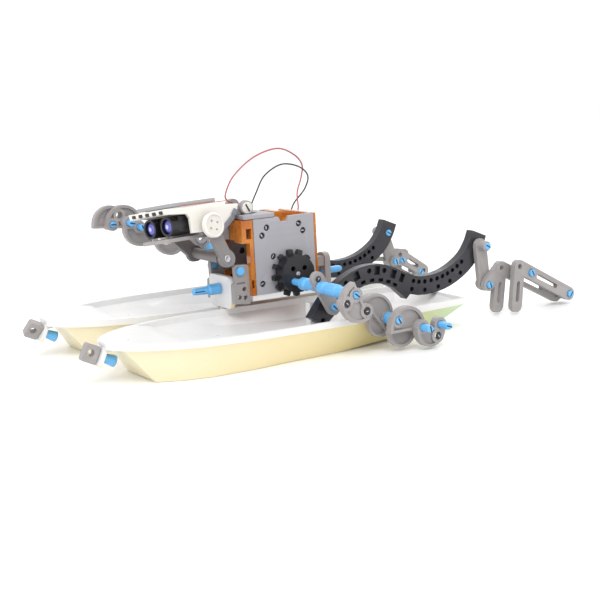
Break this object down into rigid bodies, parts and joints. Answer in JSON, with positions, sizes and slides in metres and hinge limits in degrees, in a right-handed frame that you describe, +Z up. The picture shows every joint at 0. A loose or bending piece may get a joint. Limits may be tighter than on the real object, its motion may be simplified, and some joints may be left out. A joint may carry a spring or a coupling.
{
  "type": "solar surfing robot model",
  "caption": "Prone toy robot on two white pontoons, with cranked paddling arms, splayed legs, a geared solar drive and a tilting head under a flat panel.",
  "frame": {"origin": "on the surface it rests on, under the middle of the object's box", "axes": "+Z up, the robot's bow points to -Y, its left side is +X"},
  "size_m": [0.2216, 0.3364, 0.1134],
  "materials": {
    "pontoon_white": "glossy",
    "pin_blue": "glossy",
    "kit_grey": "satin",
    "box_grey": "fine satin",
    "shell_orange": "translucent glossy",
    "steel": "drawn",
    "wire_red": "glossy sleeve",
    "wire_black": "glossy sleeve",
    "head_cream": "glossy",
    "crank_black": "satin",
    "brass": "machined",
    "lens_violet": "glossy",
    "panel_grey": "satin",
    "leg_black": "satin"
  },
  "bodies": {
    "kit": {"left_pontoon": "pontoon_white", "right_pontoon": "pontoon_white", "front_tie": "pontoon_white", "front_pin": "pin_blue", "rear_tie": "kit_grey", "rear_pin": "pin_blue", "left_bracket": "kit_grey", "left_bracket_pin": "pin_blue", "right_bracket": "kit_grey", "right_bracket_pin": "pin_blue", "gearbox_left_plate": "box_grey", "gearbox_right_plate": "box_grey", "gearbox_shell": "shell_orange", "top_plate": "box_grey", "motor": "steel", "neck": "kit_grey", "panel_hinge": "kit_grey", "red_wire": "wire_red", "black_wire": "wire_black"},
    "drive": {"output_gear": "head_cream", "drive_shaft": "steel", "left_sprocket": "crank_black", "left_crank_pin": "pin_blue", "left_link": "kit_grey", "left_paddle_a": "kit_grey", "left_paddle_b": "kit_grey", "left_paddle_c": "kit_grey", "left_paddle_d": "kit_grey", "left_paddle_pin_b": "pin_blue", "left_paddle_pin_c": "pin_blue", "left_paddle_pin_d": "pin_blue", "right_sprocket": "crank_black", "right_crank_pin": "pin_blue", "right_link": "kit_grey", "right_paddle_a": "kit_grey", "right_paddle_b": "kit_grey", "right_paddle_c": "kit_grey", "right_paddle_d": "kit_grey", "right_paddle_pin_b": "pin_blue", "right_paddle_pin_c": "pin_blue", "right_paddle_pin_d": "pin_blue"},
    "motor_drive": {"pinion": "brass"},
    "head": {"face_shell": "head_cream", "eye_barrels": "crank_black", "left_lens": "lens_violet", "right_lens": "lens_violet", "left_ear": "head_cream", "right_ear": "head_cream", "jaw_bar": "kit_grey", "solar_panel": "panel_grey"},
    "left_leg": {"left_leg": "leg_black"},
    "right_leg": {"right_leg": "leg_black"},
    "left_foot": {"left_foot_link": "kit_grey", "left_foot_plate": "kit_grey", "left_foot_heel": "kit_grey"},
    "right_foot": {"right_foot_link": "kit_grey", "right_foot_plate": "kit_grey", "right_foot_heel": "kit_grey"},
    "left_bow_eye": {"left_bow_eye": "kit_grey"},
    "right_bow_eye": {"right_bow_eye": "kit_grey"}
  },
  "joints": [
    {"name": "crank_spin", "type": "hinge", "parent": "kit", "child": "drive", "pos_m": [0, -0.02169, 0.04], "axis": [1, 0, 0], "continuous": true},
    {"name": "motor_spin", "type": "hinge", "parent": "kit", "child": "motor_drive", "pos_m": [0, -0.02169, 0.0523], "axis": [1, 0, 0], "continuous": true},
    {"name": "head_tilt", "type": "hinge", "parent": "kit", "child": "head", "pos_m": [0, -0.07739, 0.0708], "axis": [0.9674, 0.2056, 0.1478], "range_deg": [-4, 16]},
    {"name": "left_hip", "type": "hinge", "parent": "kit", "child": "left_leg", "pos_m": [0, -0.01969, 0.019], "axis": [1, 0, 0], "range_deg": [0, 22]},
    {"name": "right_hip", "type": "hinge", "parent": "kit", "child": "right_leg", "pos_m": [0, -0.01969, 0.019], "axis": [1, 0, 0], "range_deg": [0, 22]},
    {"name": "left_ankle", "type": "hinge", "parent": "left_leg", "child": "left_foot", "pos_m": [0, 0.09931, 0.045], "axis": [1, 0, 0], "range_deg": [-10, 45]},
    {"name": "right_ankle", "type": "hinge", "parent": "right_leg", "child": "right_foot", "pos_m": [0, 0.09931, 0.045], "axis": [1, 0, 0], "range_deg": [-10, 45]},
    {"name": "left_bow_eye_swivel", "type": "hinge", "parent": "kit", "child": "left_bow_eye", "pos_m": [0.0425, -0.15849, 0.0155], "axis": [0, 0.8988, -0.4384], "range_deg": [-90, 90]},
    {"name": "right_bow_eye_swivel", "type": "hinge", "parent": "kit", "child": "right_bow_eye", "pos_m": [-0.0425, -0.15849, 0.0155], "axis": [0, 0.8988, -0.4384], "range_deg": [-90, 90]}
  ],
  "couplings": [
    {"joint": "motor_spin", "follows": "crank_spin", "ratio": -2}
  ]
}
